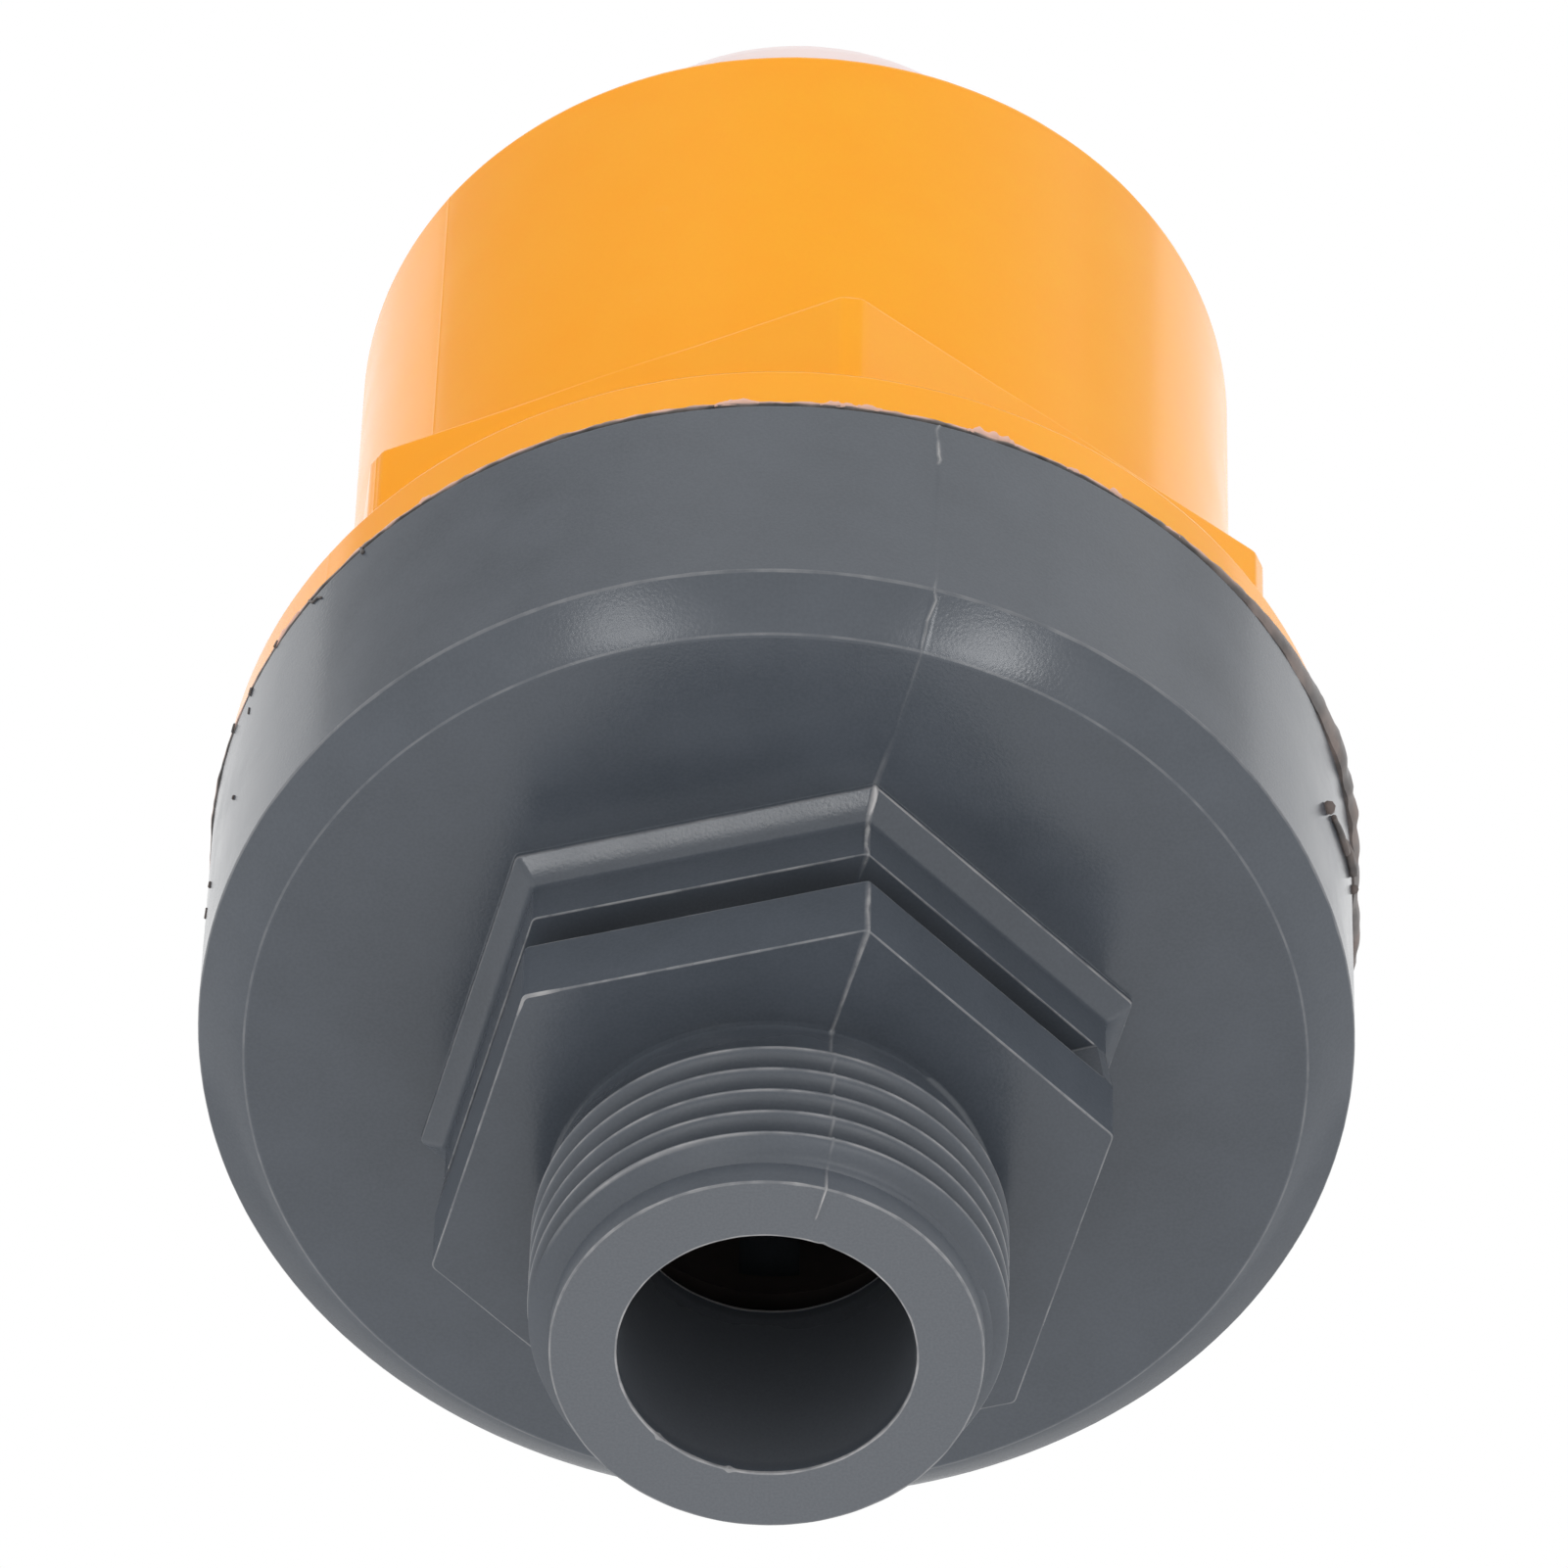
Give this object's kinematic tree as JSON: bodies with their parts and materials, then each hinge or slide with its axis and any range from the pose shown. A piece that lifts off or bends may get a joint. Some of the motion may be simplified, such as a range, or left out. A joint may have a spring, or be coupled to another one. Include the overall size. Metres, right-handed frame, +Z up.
{
  "type": "air release valve",
  "caption": "Combination air release valve: threaded grey base welded to an orange upper shell, with a float, a kinetic plug and a vent cap.",
  "frame": {"origin": "centre of the inlet's end face, where the valve's axis meets it", "axes": "+Z up along the valve's axis, from the inlet to the vent cap"},
  "size_m": [0.0657, 0.0656, 0.1083],
  "materials": {
    "grey_plastic": "moulded polypropylene, satin, slate grey",
    "orange_plastic": "moulded polypropylene, satin, slightly translucent",
    "white_plastic": "moulded plastic, satin, white",
    "weld_flash": "mixed weld flash, rough",
    "dark_plastic": "moulded polypropylene, satin, near black",
    "acetal": "moulded acetal, natural",
    "rubber": "moulded rubber, black",
    "stainless": "stainless steel",
    "brass": "turned brass"
  },
  "bodies": {
    "housing": {"inlet_base": "grey_plastic", "upper_body": "orange_plastic", "weld_flash": "weld_flash", "float_cage": "dark_plastic", "orifice_seat": "acetal", "seat_o_ring": "rubber", "vent_screen": "stainless", "vent_cap": "white_plastic"},
    "plug": {"kinetic_plug": "acetal", "plug_seal": "rubber", "air_nozzle": "brass", "nozzle_o_ring": "rubber", "retainer_clip": "stainless"},
    "float": {"float_lower_shell": "dark_plastic", "float_upper_shell": "dark_plastic", "float_stem": "acetal", "nib_seal": "rubber"}
  },
  "joints": [
    {"name": "plug_lift", "type": "slide", "parent": "housing", "child": "plug", "axis": [0, 0, 1], "range_m": [0, 0.0086]},
    {"name": "float_lift", "type": "slide", "parent": "plug", "child": "float", "axis": [0, 0, 1], "range_m": [0, 0.0024]}
  ]
}
